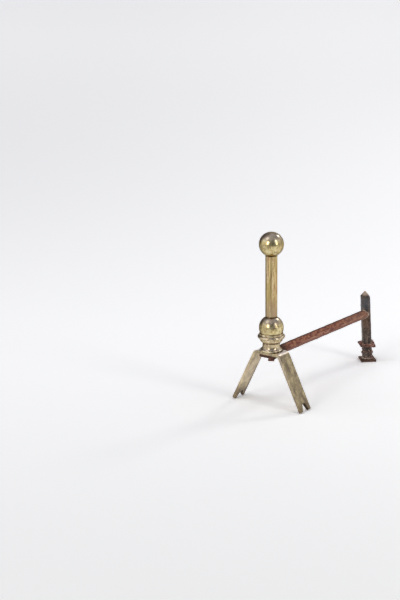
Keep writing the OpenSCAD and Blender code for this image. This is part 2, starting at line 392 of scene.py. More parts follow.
def drawn_brass_tube(name, low, high):
    """Drawn brass tube, rubbed up and down its length: the draw marks spread each light into a
    tall band, with brown and olive stains running lengthwise, a duller stretch where it is held,
    and painted shade darkening both ends, where it meets the strap and the ball."""
    made, tree = new_material(name)
    place = add(tree, "TexCoord", out="Object")
    height = add(tree, "SeparateXYZ", {"Vector": place}, "Z")
    tall = add(tree, "Mapping", {"Vector": place, "Scale": (1, 1, 0.08)})
    taller = add(tree, "Mapping", {"Vector": place, "Scale": (1, 1, 0.3)})
    streaks = add(tree, "TexNoise", grain(tall, 4.5, 4, 0.6))
    blots = add(tree, "TexNoise", grain(taller, 11, 4, 0.6))
    specks = add(tree, "TexNoise", grain(place, 2.0, 3, 0.65))
    bands = [(0.36, "#99815a"), (0.46, "#cab17e"), (0.56, "#e3cb97"), (0.66, "#f0deb4")]
    tone = add(tree, "ValToRGB", {"Fac": streaks}, stops=bands)
    foot = add(tree, "MapRange", span(height, low + 3.2 * MM, low + 1.6 * MM, 0.0, 0.8), **SOFT)
    head = add(tree, "MapRange", span(height, high - 3.0 * MM, high - 1.2 * MM, 0.0, 0.8), **SOFT)
    tone = layered(
        tree,
        tone,
        ("#b08a66", (blots, 0.5, 0.6, 0.0, 0.65)),  # brown stain
        ("#b5a266", (blots, 0.48, 0.4, 0.0, 0.6)),  # olive stain
        ("#a8927c", (height, low + 60 * MM, low + 8 * MM, 0.0, 0.55)),  # where it is held
        ("#4f3a20", (specks, 0.6, 0.68, 0.0, 0.7)),  # pinholes
        ("#3d2c18", add(tree, "Math", {0: foot, 1: head}, **LARGER)),  # painted shade in the joints at both ends
    )
    rough = add(tree, "MapRange", span(streaks, 0.3, 0.7, 0.36, 0.25), **SOFT)
    drawn = {
        "Specular Tint": LACQUER_EDGE,
        "Anisotropic": 0.75,
        "Anisotropic Rotation": 0.25,
        "Tangent": add(tree, "Tangent", direction_type="RADIAL", axis="Z"),
    }
    return surfaced(made, tone, 1.0, rough, [(blots, 0.15, 0.2), (streaks, 0.2, 0.06)], drawn)


def tarnished_brass(name):
    """Flat brass bar that has stood in the ash: a khaki film, mottled and streaked down the legs
    with brown stain, rubbed back to pale metal on its corners, paler up its left leg, painted paler
    on its top as if lit from above, with a painted shadow round the foot of the pedestal, and
    painted shade nearly black in the notches and in its corners."""
    made, tree = new_material(name)
    place = add(tree, "TexCoord", out="Object")
    x, y, z = add(tree, "SeparateXYZ", {"Vector": place}).node.outputs
    normal = add(tree, "NewGeometry", out="True Normal")
    broad, ahead, up = add(tree, "SeparateXYZ", {"Vector": normal}).node.outputs
    tall = add(tree, "Mapping", {"Vector": place, "Scale": (1, 1, 0.45)})
    patches = add(tree, "TexNoise", grain(tall, 13, 5, 0.66))
    blots = add(tree, "TexNoise", grain(place, 5, 4, 0.6))
    fine = add(tree, "TexNoise", grain(place, 1.8, 4, 0.7))
    khaki = [(0.36, "#83755f"), (0.46, "#a3957a"), (0.55, "#bcab86"), (0.64, "#d2c198")]
    bright = [(0.32, "#b3a186"), (0.5, "#cdbb9c"), (0.68, "#e0d0b0")]
    film = add(tree, "ValToRGB", {"Fac": patches}, stops=khaki)
    pale = add(tree, "ValToRGB", {"Fac": patches}, stops=bright)
    top = add(tree, "MapRange", span(up, 0.65, 0.95, 0.0, 0.9), **SOFT)
    left_leg = overlap(tree, (x, -0.02, -0.06), (z, 0.01, 0.08, 0.1, 0.9))
    corners = overlap(tree, edge_wear_and_light(tree, 2.0), (blots, 0.35, 0.6, 0.5, 1.0))
    # paler on the corners where worn, up the left leg, and on the top as painted light
    rubbed = add(tree, "Math", {0: left_leg, 1: top}, **LARGER)
    rubbed = add(tree, "Math", {0: rubbed, 1: corners}, **LARGER)
    seat = off_axis(tree, place, COLUMN_Y)
    off_middle = distance(tree, y, COLUMN_Y)
    sideways = distance(tree, broad)
    back = strap_high.y
    tone = layered(
        tree,
        film,
        ("#8a7466", (blots, 0.52, 0.64, 0.0, 0.6)),  # brown stain
        ("#5b4930", (fine, 0.56, 0.66, 0.0, 0.7)),  # pinholes
        (pale, rubbed),
        # the top, painted paler as if lit from above
        ("#f9ede5", top, (blots, 0.62, 0.48, 0.65, 1.0)),
        # the narrow front of the right leg
        ("#e8d6c6", (ahead, -0.85, -0.97), (z, 0.02, 0.12, 0.0, 0.3), (x, 0.028, 0.034)),
        # a dark strip down the left leg, along its back edge
        (
            "#5c4a46",
            (x, -0.02, -0.03),
            (y, back - 9 * MM, back - 3 * MM),
            (patches, 0.38, 0.58, 0.9, 0.4),
        ),
        # soot on the toes
        ("#6d5a4a", (z, 0.03, 0.012, 0.0, 0.6)),
        # a painted shadow on the top round the foot of the pedestal, under its bead
        ("#35281e", (seat, PEDESTAL_R + 4 * MM, PEDESTAL_R + 1 * MM, 0.0, 0.85), top),
        # painted shade on the sawn walls of the notches
        (
            "#3e2e22",
            (off_middle, 15 * MM, 12.5 * MM),
            (sideways, 0.75, 0.55),
            (z, 28 * MM, 22 * MM, 0.0, 0.9),
        ),
        # painted shade in the corners, from ambient occlusion
        ("#3a2c20", painted_corner_shade(tree, 3.5)),
    )
    rough = add(tree, "MapRange", span(patches, 0.3, 0.7, 0.5, 0.36), **SOFT)
    shine = add(tree, "Math", {0: rubbed, 1: 0.1}, **TIMES)
    rough = add(tree, "Math", {0: rough, 1: shine}, operation="SUBTRACT")
    return surfaced(
        made, tone, 0.92, rough, [(patches, 0.35, 0.5), (blots, 0.3, 0.2), (fine, 0.3, 0.08)]
    )


def rusted_iron(name, bands, grain_mm, corner_tone, corner_share=0.7, rough=0.78, burnt=0.0):
    """Wrought iron under a skin of hearth rust: matt red-brown with a tan bloom and dark pits,
    another colour on its edges, which is wear from handling and heat, except on the foot plate,
    where it is painted shade, and on the clinker, where it is painted highlight, and where asked
    for burnt dark far out from the post."""
    made, tree = new_material(name)
    place = add(tree, "TexCoord", out="Object")
    drift = add(tree, "TexNoise", grain(place, grain_mm, 5, 0.62))
    bloom = add(tree, "TexNoise", grain(place, grain_mm * 0.35, 4, 0.6))
    pits = add(tree, "TexNoise", grain(place, 1.7, 4, 0.7))
    tone = layered(
        tree,
        add(tree, "ValToRGB", {"Fac": drift}, stops=bands),
        ("#b58b72", (bloom, 0.52, 0.64, 0.0, 0.6)),  # tan bloom
        ("#35201a", (pits, 0.56, 0.66, 0.0, 0.75)),
        (corner_tone, edge_wear_and_light(tree, 1.8, corner_share)),
        ("#2a1c18", (off_axis(tree, place, PLATE_Y), 18 * MM, 24 * MM, 0.0, burnt)),
    )
    dull = add(tree, "MapRange", span(bloom, 0.3, 0.7, rough - 0.12, rough + 0.1), **SOFT)
    return surfaced(
        made, tone, 0.15, dull, [(drift, 0.5, 0.7), (bloom, 0.5, 0.4), (pits, 0.6, 0.18)]
    )


def rusted_bar_iron(name):
    """A forged iron billet under hearth rust: red-brown to orange, with tan streaks along its
    length, rubbed pale on its side corners, darker below, burnt along its ridge, dark behind the
    cup with soot and a painted shadow of the cup, and darkened in its corners by painted shade."""
    made, tree = new_material(name)
    place = add(tree, "TexCoord", out="Object")
    y, z = add(tree, "SeparateXYZ", {"Vector": place}).node.outputs[1:]
    normal = add(tree, "NewGeometry", out="True Normal")
    up = add(tree, "SeparateXYZ", {"Vector": normal}, "Z")
    long = add(tree, "Mapping", {"Vector": place, "Scale": (1, 0.18, 1)})
    drift = add(tree, "TexNoise", grain(place, 8, 5, 0.66))
    streaks = add(tree, "TexNoise", grain(long, 4, 4, 0.6))
    pits = add(tree, "TexNoise", grain(place, 2.4, 4, 0.72))
    bands = [(0.36, "#5f3028"), (0.46, "#86483a"), (0.55, "#a4644a"), (0.64, "#c68c68")]
    off_corner = distance(tree, z, BAR_Z + 1 * MM)
    back = strap_high.y
    tone = layered(
        tree,
        add(tree, "ValToRGB", {"Fac": drift}, stops=bands),
        ("#bc8668", (streaks, 0.5, 0.6, 0.0, 0.6)),
        # below, and toward the post
        ("#7e4c40", (up, -0.2, -0.6, 0.0, 0.55)),
        ("#a9866f", (y, 0.05, 0.19, 0.0, 0.45)),
        # the side corners, where the logs rub
        (
            "#cf9f84",
            (off_corner, 3.6 * MM, 0.6 * MM),
            (streaks, 0.42, 0.56, 0.0, 0.85),
            (y, -0.13, -0.04),
        ),
        # the ridge; and the shoulder behind the cup, sooted and darkened by a painted shadow of the
        # cup
        ("#44251e", (z, BAR_Z + 9.5 * MM, BAR_Z + 11.5 * MM, 0.0, 0.8)),
        ("#46291c", (y, back + 48 * MM, back + 16 * MM, 0.0, 0.88)),
        ("#4a2820", (pits, 0.54, 0.64, 0.0, 0.8)),
        # painted shade in the corners, from ambient occlusion
        ("#2f1d18", painted_corner_shade(tree, 6)),
    )
    dull = add(tree, "MapRange", span(drift, 0.3, 0.7, 0.66, 0.85), **SOFT)
    return surfaced(
        made, tone, 0.15, dull, [(drift, 0.5, 0.7), (streaks, 0.4, 0.3), (pits, 0.7, 0.3)]
    )


def fire_scaled_iron(name, top, joint):
    """Wrought iron blackened by the fire: grey-brown scale with a blue cast near the top, a tan
    bloom on its point, and a rust stain that has run down from where the bar is set in."""
    made, tree = new_material(name)
    place = add(tree, "TexCoord", out="Object")
    height = add(tree, "SeparateXYZ", {"Vector": place}, "Z")
    tall = add(tree, "Mapping", {"Vector": place, "Scale": (1, 1, 0.3)})
    scale = add(tree, "TexNoise", grain(tall, 8, 5, 0.66))
    flakes = add(tree, "TexNoise", grain(place, 4, 4, 0.66))
    pits = add(tree, "TexNoise", grain(place, 1.6, 3, 0.7))
    bands = [(0.38, "#332a28"), (0.5, "#56493f"), (0.61, "#857468")]
    tone = layered(
        tree,
        add(tree, "ValToRGB", {"Fac": scale}, stops=bands),
        # the blue cast between the joint and the point
        (
            "#59616a",
            (height, joint + 8 * MM, joint + 22 * MM),
            (height, top - 8 * MM, top - 24 * MM, 0.0, 0.5),
        ),
        # the rust below the joint
        (
            "#704e38",
            (height, joint - 60 * MM, joint - 14 * MM),
            (height, joint + 4 * MM, joint - 8 * MM),
            (scale, 0.35, 0.6, 0.2, 0.8),
        ),
        ("#96827a", (flakes, 0.54, 0.64, 0.0, 0.7)),
        ("#d8bea6", (height, top - 13 * MM, top - 7 * MM, 0.0, 0.8)),  # the point
        ("#241d1c", (pits, 0.56, 0.66, 0.0, 0.8)),
        ("#93867c", edge_wear_and_light(tree, 1.6, 0.5)),
    )
    dull = add(tree, "MapRange", span(flakes, 0.3, 0.7, 0.48, 0.66), **SOFT)
    return surfaced(
        made, tone, 0.45, dull, [(scale, 0.5, 0.6), (flakes, 0.45, 0.3), (pits, 0.5, 0.12)]
    )


BALL_BRASS = polished_brass(
    "hand_polished_ball_brass",
    [(0.36, "#c0ab76"), (0.5, "#d8c68f"), (0.62, "#e3d5a9")],
    [(0.36, "#857454"), (0.5, "#ad986c"), (0.62, "#d2c092")],
    2.0,
)
CUP_BRASS = polished_brass(
    "turned_cup_brass",
    [(0.36, "#b8a27e"), (0.5, "#dac9a2"), (0.62, "#f0e3c4")],
    [(0.36, "#8a745a"), (0.5, "#b09a78"), (0.62, "#d0be98")],
    3.2,
)
TUBE_BRASS = drawn_brass_tube("drawn_tube_brass", column_low.z, column_high.z)
STRAP_BRASS = tarnished_brass("tarnished_strap_brass")
BAR_IRON = rusted_bar_iron("rusted_billet_iron")
POST_IRON = fire_scaled_iron("fire_scaled_post_iron", post_high.z, BAR_Z)
COLLAR_IRON = rusted_iron(
    "rusted_collar_iron",
    [(0.38, "#4a2d27"), (0.46, "#8f5a4c"), (0.54, "#c08c7a"), (0.62, "#e6c0b0")],
    5,
    "#4a3630",
    0.2,
    burnt=0.5,
)
# its dark edges are painted shade along the rim by the floor
PLATE_IRON = rusted_iron(
    "rusted_foot_iron",
    [(0.36, "#3c2822"), (0.46, "#5c3f33"), (0.56, "#80604e"), (0.66, "#aa8a74")],
    10,
    "#2c1e1a",
)
RING_IRON = rusted_iron(
    "rubbed_ring_iron",
    [(0.38, "#6b5548"), (0.46, "#a58e7e"), (0.54, "#d6c4b2"), (0.62, "#efe2d2")],
    5,
    "#efe2d0",
    rough=0.6,
)
# its pale edges are painted highlights on the lumps
CLINKER = rusted_iron(
    "fused_clinker",
    [(0.4, "#1d1615"), (0.48, "#382b27"), (0.55, "#7c5d52"), (0.61, "#d6b6a8")],
    4,
    "#cfb2a4",
    0.45,
)
NUT_IRON = rusted_iron(
    "sooted_nut_iron",
    [(0.38, "#3e241e"), (0.48, "#784a3e"), (0.6, "#b08070")],
    5,
    "#a88072",
    0.5,
)


def dress(piece, material, slot, *replaced):
    """Gives a piece its material, hangs it under the root body, and hides the nodes that it stands
    for, if any. The slot is not used.
    """
    piece.data.materials.clear()
    piece.data.materials.append(material)
    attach(piece, "root")
    if replaced:
        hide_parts(*replaced)


# ---------------------------------------------------------------- the leg strap

STRAP_THICK = 8 * MM
STRAP_FLAT = 54 * MM
BEND_R = 6 * MM
LEG_SLANT = math.radians(26.5)
NOTCH_MOUTH = 24 * MM
NOTCH_DEEP = 19 * MM
NOTCH_R = 6 * MM


def cut_notch(piece, toe):
    """Saws a notch up from the toe: a block that narrows up the leg, and a round root above it."""
    straight = NOTCH_DEEP - NOTCH_R
    past = 3 * MM
    through = 3 * STRAP_THICK
    size = (through, NOTCH_MOUTH, straight + 2 * past)
    wedge = block("notch_block", (0, 0, straight / 2), size)
    narrowing = (NOTCH_MOUTH - 2 * NOTCH_R) / straight
    for height in (-past, straight + past):
        pick(wedge, "points", lambda spot: abs(spot.z - height) < NEAR)
        share = (NOTCH_MOUTH - narrowing * height) / NOTCH_MOUTH
        bpy.ops.transform.resize(value=(1, share, 1), center_override=(0, 0, height))
        done()
    root = begin(
        "notch_root",
        bpy.ops.mesh.primitive_cylinder_add,
        vertices=48,
        radius=NOTCH_R,
        depth=through,
        location=(0, 0, straight),
        rotation=(0, math.pi / 2, 0),
    )
    for cutter in (wedge, root):
        put(cutter, toe, (0, -LEG_SLANT, 0))
        cut_away(piece, cutter)


def make_leg_strap():
    """Half of the flat top, bent down into one leg, notched at its toe and then mirrored."""
    width = strap_high.y - strap_low.y
    top = strap_high.z
    bend = Vector((STRAP_FLAT / 2, COLUMN_Y, top - BEND_R - STRAP_THICK))
    down = Vector((math.sin(LEG_SLANT), 0, -math.cos(LEG_SLANT)))
    across = Vector((math.cos(LEG_SLANT), 0, math.sin(LEG_SLANT)))
    leg_len = (bend.z + BEND_R * math.sin(LEG_SLANT)) / math.cos(LEG_SLANT)
    middle = (STRAP_FLAT / 4, COLUMN_Y, top - STRAP_THICK / 2)
    piece = block("leg_strap_worn", middle, (STRAP_FLAT / 2, width, STRAP_THICK))
    pick(piece, "faces", lambda spot: spot.x > STRAP_FLAT / 2 - NEAR)
    bpy.ops.mesh.spin(steps=14, angle=math.pi / 2 - LEG_SLANT, center=bend, axis=(0, -1, 0))
    bpy.ops.mesh.extrude_region_move(TRANSFORM_OT_translate={"value": down * leg_len})
    done()
    outward(piece)
    cut_notch(piece, bend + across * (BEND_R + STRAP_THICK / 2) + down * leg_len)
    pick(piece, "faces", lambda spot: spot.x < NEAR)
    bpy.ops.mesh.delete(type="FACE")
    done()
    finish_with(piece, "MIRROR", use_axis=(True, False, False), use_clip=True)
    outward(piece)
    soften(piece, 0.9 * MM)
    cut_rings(piece, (0, 1, 0), COLUMN_Y - width / 2 + 4 * MM, COLUMN_Y + width / 2)
    for side in (-1, 1):
        lean = Vector((side * down.x, 0, down.z))
        near = lean.dot(Vector((side * bend.x, COLUMN_Y, bend.z)))
        cut_rings(piece, lean, near + 4 * MM, near + leg_len - 2 * MM)
    hammer(piece, 18 * MM, 0.6 * MM)
    smooth(piece)
    dress(piece, STRAP_BRASS, "tarnished_brass", "leg_strap")


# ---------------------------------------------------------------- the forged iron

BAR_SIDE = 18.5 * MM
PALM_HALF = 3.5 * MM
PALM_DROP = 4.1 * MM


def make_billet_bar():
    """The billet is drawn through a row of eight-sided outlines, from the flat palm to the square
    bar on edge. Each has its place along the bar, half width, half height, how square its corners
    are and the height of its middle."""
    half = BAR_SIDE / math.sqrt(2)
    upset = half * 0.985
    palm_z = BAR_Z - PALM_DROP
    front = bar_low.y
    back = strap_high.y
    bar_end = bar_high.y - 2 * MM
    stations = [
        (front, 21 * MM, PALM_HALF - 0.7 * MM, 0.95, palm_z),
        (front + 0.9 * MM, 22 * MM, PALM_HALF, 0.97, palm_z),
        (back - 2 * MM, 21.8 * MM, PALM_HALF, 0.95, palm_z),
        (back + 3 * MM, 18.5 * MM, PALM_HALF + 0.2 * MM, 0.9, palm_z - 0.1 * MM),
        (back + 8 * MM, 14.5 * MM, 5.4 * MM, 0.78, palm_z - 0.4 * MM),
        (back + 12 * MM, 13.1 * MM, 8.6 * MM, 0.64, palm_z + 0.8 * MM),
        (back + 17 * MM, 13 * MM, 11.9 * MM, 0.54, BAR_Z - 0.8 * MM),
        (back + 21 * MM, half, half, 0.5, BAR_Z),
        (bar_end - 34 * MM, half, half, 0.5, BAR_Z),
        (bar_end - 20 * MM, upset, upset, 0.6, BAR_Z),
        (bar_end, upset, upset, 0.62, BAR_Z),
    ]
    # an even outline of radius 1 at the first place, which is then resized as the others are
    along, wide, high, square, middle = front, 1, 1, math.sqrt(0.5), palm_z
    piece = begin(
        "billet_bar_forged",
        bpy.ops.mesh.primitive_circle_add,
        vertices=8,
        radius=1,
        fill_type="NGON",
        location=(0, along, middle),
        rotation=(math.pi / 2, 0, 0),
    )
    for new_along, new_wide, new_high, new_square, new_middle in stations:
        pick(piece, "faces", lambda spot: spot.y > along - NEAR and abs(spot.x) < NEAR)
        if new_along > along:
            step = (0, new_along - along, new_middle - middle)
            bpy.ops.mesh.extrude_region_move(TRANSFORM_OT_translate={"value": step})
        centre = (0, new_along, new_middle)
        share = (new_wide / wide, 1, new_high / high)
        bpy.ops.transform.resize(value=share, center_override=centre)
        done()
        pick(
            piece,
            "points",
            lambda spot: spot.y > new_along - NEAR
            and abs(spot.x) > 0.2 * new_wide
            and abs(spot.z - new_middle) > 0.2 * new_high,
        )
        share = new_square / square
        bpy.ops.transform.resize(value=(share, 1, share), center_override=centre)
        done()
        along, wide, high, square, middle = new_along, new_wide, new_high, new_square, new_middle
    outward(piece)
    soften(piece, 1.1 * MM, 40)
    cut_rings(piece, (0, 1, 0), front + 4 * MM, bar_end)
    across = BAR_Z * math.sqrt(0.5)
    cut_rings(piece, (-1, 0, 1), across - 8 * MM, across + 10 * MM)
    hammer(piece, 20 * MM, 1.2 * MM, detail=3)
    smooth(piece)
    dress(piece, BAR_IRON, "rusted_bar", "billet_bar")


POST_RAKE = math.radians(5)
POST_SIDE = 22 * MM
POST_LONG = 186.5 * MM
POST_TIP = 14 * MM
BOSS_TOP = plate_high.z
EDGE_TURN = math.pi / 4


def lean_with_post(piece):
    """Stands a piece made on an upright axis on the foot of the post, leaning as the post leans."""
    put(piece, (0, PLATE_Y, 0), (POST_RAKE, 0, 0))


def on_edge(piece):
    """Turns a square piece on its upright axis, so that it stands on edge to the bar."""
    put(piece, turn=(0, 0, EDGE_TURN))


def make_rear_post():
    """Square stock drawn out to a blunt point, and swelled a little at its foot."""
    foot = BOSS_TOP - 1 * MM
    shoulder = POST_LONG - POST_TIP
    size = (POST_SIDE, POST_SIDE, shoulder - foot)
    piece = block("rear_post_forged", (0, 0, (foot + shoulder) / 2), size)
    pick(piece, "faces", lambda spot: spot.z > shoulder - NEAR)
    bpy.ops.mesh.extrude_region_move(TRANSFORM_OT_translate={"value": (0, 0, POST_TIP)})
    blunt = 0.08
    bpy.ops.transform.resize(value=(blunt, blunt, 1))
    done()
    soften(piece, 0.8 * MM, 30)
    apart = 3.5 * MM
    cut_rings(piece, (0, 0, 1), foot + 3 * MM, shoulder + POST_TIP, apart)
    for axis in ((1, 0, 0), (0, 1, 0)):
        cut_rings(piece, axis, -POST_SIDE / 2 + 4 * MM, POST_SIDE / 2, apart)
    swell = 1.025
    for height in (30 * MM, 24 * MM, 18 * MM):
        pick(piece, "points", lambda spot: spot.z < height)
        bpy.ops.transform.resize(value=(swell, swell, 1), center_override=(0, 0, 0))
        done()
    on_edge(piece)
    lean_with_post(piece)
    hammer(piece, 17 * MM, 1.2 * MM, detail=3)
    true_up(piece, post_low, post_high, axes="x")
    smooth(piece)
    dress(piece, POST_IRON, "fire_scaled_iron", "rear_post")


def make_bar_rim():
    """The upset rim where the end of the bar was driven up against two faces of the post."""
    rim_side = BAR_SIDE + 3.6 * MM
    shell_side = POST_SIDE + 2 * 0.9 * MM
    reach = 24 * MM
    post_y = PLATE_Y - BAR_Z * math.tan(POST_RAKE)
    piece = block("bar_end_rim", (0, 0, 0), (rim_side, reach, rim_side))
    put(piece, turn=(0, EDGE_TURN, 0))
    soften(piece, 6 * MM, 60)
    put(piece, (0, post_y - reach / 2, BAR_Z))
    shell = block("rim_shell", (0, 0, BAR_Z), (shell_side, shell_side, 60 * MM))
    on_edge(shell)
    lean_with_post(shell)
    cut_away(piece, shell, "INTERSECT")
    outward(piece)
    soften(piece, 0.35 * MM, 60)
    for axis, middle in (((1, 0, 0), 0), ((0, 0, 1), BAR_Z)):
        cut_rings(piece, axis, middle - 12 * MM, middle + 13 * MM, 2 * MM)
    hammer(piece, 5 * MM, 0.6 * MM, level=0.6)
    smooth(piece)
    dress(piece, RING_IRON, "rusted_bar")


def cushion_plate(name, side, rims, crowns, crown_inset, crease):
    """A square plate on edge, pillowed from the low and high faces of its rim to those of its
    crown. A face whose rim and crown are level stays flat."""
    piece = block(name, (0, 0, sum(rims) / 2), (side, side, rims[1] - rims[0]))
    for level, crown in zip(reversed(rims), reversed(crowns)):
        pick(piece, "faces", lambda spot: abs(spot.z - level) < NEAR)
        bpy.ops.mesh.inset(thickness=crown_inset)
        bpy.ops.mesh.inset(thickness=crown_inset * 0.5)
        bpy.ops.transform.translate(value=(0, 0, crown - level))
        bpy.ops.mesh.inset(thickness=2 * MM)
        done()
    rim = side / 2 - NEAR
    pick(piece, "points", lambda spot: max(abs(spot.x), abs(spot.y)) > rim)
    bpy.ops.mesh.select_mode(type="EDGE")
    bpy.ops.transform.edge_crease(value=crease)
    done()
    finish_with(piece, "SUBSURF", levels=4, render_levels=4)
    on_edge(piece)
    return piece


def make_post_collar():
    """A square collar with pillowed faces, whose right corner has been bent down."""
    height = 45 * MM
    rims = (height - 1.9 * MM, height + 1.9 * MM)
    crowns = (height - 3.75 * MM, height + 3.75 * MM)
    piece = cushion_plate("post_collar_forged", 38 * MM, rims, crowns, 4 * MM, 0.95)
    for corner in (9 * MM, 13 * MM, 17 * MM):
        pick(piece, "points", lambda spot: spot.x > corner)
        bpy.ops.transform.translate(value=(0, 0, -1.1 * MM))
        done()
    lean_with_post(piece)
    hammer(piece, 7 * MM, 3.0 * MM, level=0.6)
    true_up(piece, collar_low, collar_high)
    smooth(piece, 45)
    dress(piece, COLLAR_IRON, "rusted_plate", "post_collar")


def make_foot_plate():
    """A square plate, pillowed above and flat on the floor."""
    piece = cushion_plate("foot_plate_forged", 38.5 * MM, (0, 5 * MM), (0, 8 * MM), 3.5 * MM, 1.0)
    put(piece, (0, PLATE_Y, 0))
    hammer(piece, 10 * MM, 1.2 * MM, level=0.6)
    true_up(piece, plate_low, plate_high)
    pick(piece, "points", lambda spot: spot.z < 1.2 * MM)
    bpy.ops.transform.resize(value=(1, 1, 0), center_override=(0, 0, 0))
    done()
    smooth(piece, 45)
    dress(piece, PLATE_IRON, "rusted_plate", "foot_plate")


def make_foot_ring():
    """The rim of the boss, rubbed bright where the post was driven home."""
    ring_r = 14.5 * MM
    bead = 1.3 * MM
    low = BOSS_TOP - 4 * MM
    profile = [(ring_r - bead, low), (ring_r, low + 0.4 * MM)]
    profile += arc((ring_r - bead, BOSS_TOP - bead), bead, 0, 90, 6)
    profile += [(ring_r - 2 * bead, BOSS_TOP - 0.4 * MM), (5 * MM, BOSS_TOP - 0.5 * MM)]
    piece = turned("foot_ring", profile, PLATE_Y - BOSS_TOP * math.tan(POST_RAKE), 96)
    hammer(piece, 6 * MM, 0.5 * MM)
    smooth(piece, 45)
    dress(piece, RING_IRON, "rusted_plate")


# The lumps of clinker: how many, their mean radius, the stretch of the post that they cover, and
# how far each is turned and raised from the one before, in mm and radians
LUMPS = 36
LUMP_R = 4.2
LUMPS_LOW, LUMPS_RUN = 13, 25
LUMP_TURN, LUMP_RISE = 2.4, 7.7


def make_foot_lumps():
    """Scale and clinker fused on the foot of the post, between the collar and the plate: lumps of
    uneven size, spread round the four faces."""
    lumps = []
    for i in range(LUMPS):
        turn = LUMP_TURN * i
        height = (LUMPS_LOW + (LUMP_RISE * i) % LUMPS_RUN) * MM
        square = max(abs(math.cos(turn - EDGE_TURN)), abs(math.sin(turn - EDGE_TURN)))
        reach = POST_SIDE / 2 / square - 2.2 * MM
        lump = begin(
            f"lump_{i}",
            bpy.ops.mesh.primitive_ico_sphere_add,
            subdivisions=4,
            radius=(LUMP_R + 1.2 * math.sin(3 * i)) * MM,
            location=(reach * math.cos(turn), reach * math.sin(turn), height),
            scale=(1, 1, 0.75 + 0.2 * math.cos(5 * i)),
        )
        lumps.append(lump)
    piece = lumps[0]
    only(piece)
    for lump in lumps:
        lump.select_set(True)
    bpy.ops.object.join()
    piece.name = "foot_clinker"
    lean_with_post(piece)
    hammer(piece, 4 * MM, 1.4 * MM, level=0.55)
    smooth(piece, 60)
    dress(piece, CLINKER, "fire_scaled_iron")


# ---------------------------------------------------------------- the turned brass

BALL_R = 29.25 * MM
KNOP_RISE = 12.4 * MM


def make_ball(name, middle, low, high, replaced):
    """A ball cut flat at its low seat, and at its high one unless that is its top."""
    start = math.degrees(math.asin((low - middle) / BALL_R))
    stop = math.degrees(math.asin(min(1.0, (high - middle) / BALL_R)))
    piece = turned(name, arc((0, middle), BALL_R, start, stop, 56))
    hammer(piece, 24 * MM, 0.25 * MM, level=1.0)
    smooth(piece, 40)
    dress(piece, BALL_BRASS, "polished_brass", replaced)


def make_column():
    """From below: a small bead and the neck over it, the straight tube, cut across often so that
    it can be dented, and the bevel at its top."""
    radius = (column_high.x - column_low.x) / 2
    bevel = 1.1 * MM
    bead = 0.9 * MM
    low, high = column_low.z, column_high.z
    straight_low = low + 4 * MM
    run = high - bevel - straight_low
    steps = 24
    profile = [(radius - bead, low)]
    profile += arc((radius - bead, low + bead), bead, -80, 40, 8)
    profile += [(radius - 0.45 * MM, low + 2.1 * MM), (radius - 0.15 * MM, low + 2.8 * MM)]
    profile += [(radius, straight_low + run * i / steps) for i in range(steps + 1)]
    profile += [(radius - 0.7 * bevel, high - 0.45 * bevel), (radius - bevel, high)]
    piece = turned("column_tube", profile)
    hammer(piece, 30 * MM, 0.2 * MM, level=1.0)
    smooth(piece, 30)
    dress(piece, TUBE_BRASS, "polished_brass", "column")


def make_cup():
    """From below: the seam on the pedestal, the swelling bowl, the groove, the round lip, and the
    upright collar that holds the knop ball."""
    low, high = cup_low.z, cup_high.z
    lip_r = 4 * MM
    lip = ((cup_high.x - cup_low.x) / 2 - lip_r, low + 15.4 * MM)
    groove_r = lip[0] - 1.3 * MM
    bowl_r, bowl_z = 22 * MM, low + 1.6 * MM
    bowl_out, bowl_rise = groove_r - bowl_r, lip[1] - lip_r - 0.4 * MM - bowl_z
    bowl_swell = 1.6 * MM
    bowl_steps = 14
    collar_r = 27.99 * MM
    profile = [(19.4 * MM, low), (20.9 * MM, low + 0.5 * MM), (21.8 * MM, low + 1.1 * MM)]
    for i in range(bowl_steps + 1):
        share = i / bowl_steps
        bulge = bowl_swell * 4 * share * (1 - share)
        height = bowl_z + bowl_rise * share - 0.6 * bulge
        profile.append((bowl_r + bowl_out * share + bulge, height))
    profile.append((groove_r - 0.3 * MM, bowl_z + bowl_rise + 0.35 * MM))
    profile += arc(lip, lip_r, -80, 84, 28)
    profile += [
        (collar_r, lip[1] + lip_r + 0.15 * MM),
        (collar_r, high - 0.7 * MM),
        (collar_r - 0.15 * MM, high - 0.3 * MM),
        (collar_r - 0.5 * MM, high - 0.05 * MM),
        (collar_r - 0.7 * MM, high),
        (collar_r - 1.45 * MM, high),
    ]
    piece = turned("cup_turned", profile)
    smooth(piece, 30)
    dress(piece, CUP_BRASS, "polished_brass", "cup")


def make_pedestal():
    """From below: the rounded foot, the hollow flare and the straight neck under the cup."""
    low, high = pedestal_low.z, pedestal_high.z
    neck_r = 20.5 * MM
    bead = 2.6 * MM
    flare_low, flare_high = low + 2 * bead, high - 7 * MM
    flare_rise, flare_out = flare_high - flare_low, PEDESTAL_R - 0.8 * bead - neck_r
    flare_steps = 16
    hollow_r = (flare_rise * flare_rise + flare_out * flare_out) / (2 * flare_out)
    profile = [(PEDESTAL_R - bead, low)]
    profile += arc((PEDESTAL_R - bead, low + bead), bead, -80, 78, 16)
    for i in range(flare_steps + 1):
        height = flare_low + flare_rise * i / flare_steps
        away = math.sqrt(hollow_r * hollow_r - (flare_high - height) ** 2)
        profile.append((neck_r + hollow_r - away, height))
    profile += [
        (neck_r, high - 4 * MM),
        (neck_r, high - 1.2 * MM),
        (neck_r - 0.3 * MM, high - 0.7 * MM),
        (neck_r - 1.2 * MM, high),
    ]
    piece = turned("pedestal_turned", profile)
    smooth(piece, 30)
    dress(piece, CUP_BRASS, "polished_brass", "pedestal")


# ---------------------------------------------------------------- the rod and its nut

NUT_TURN = math.pi / 6


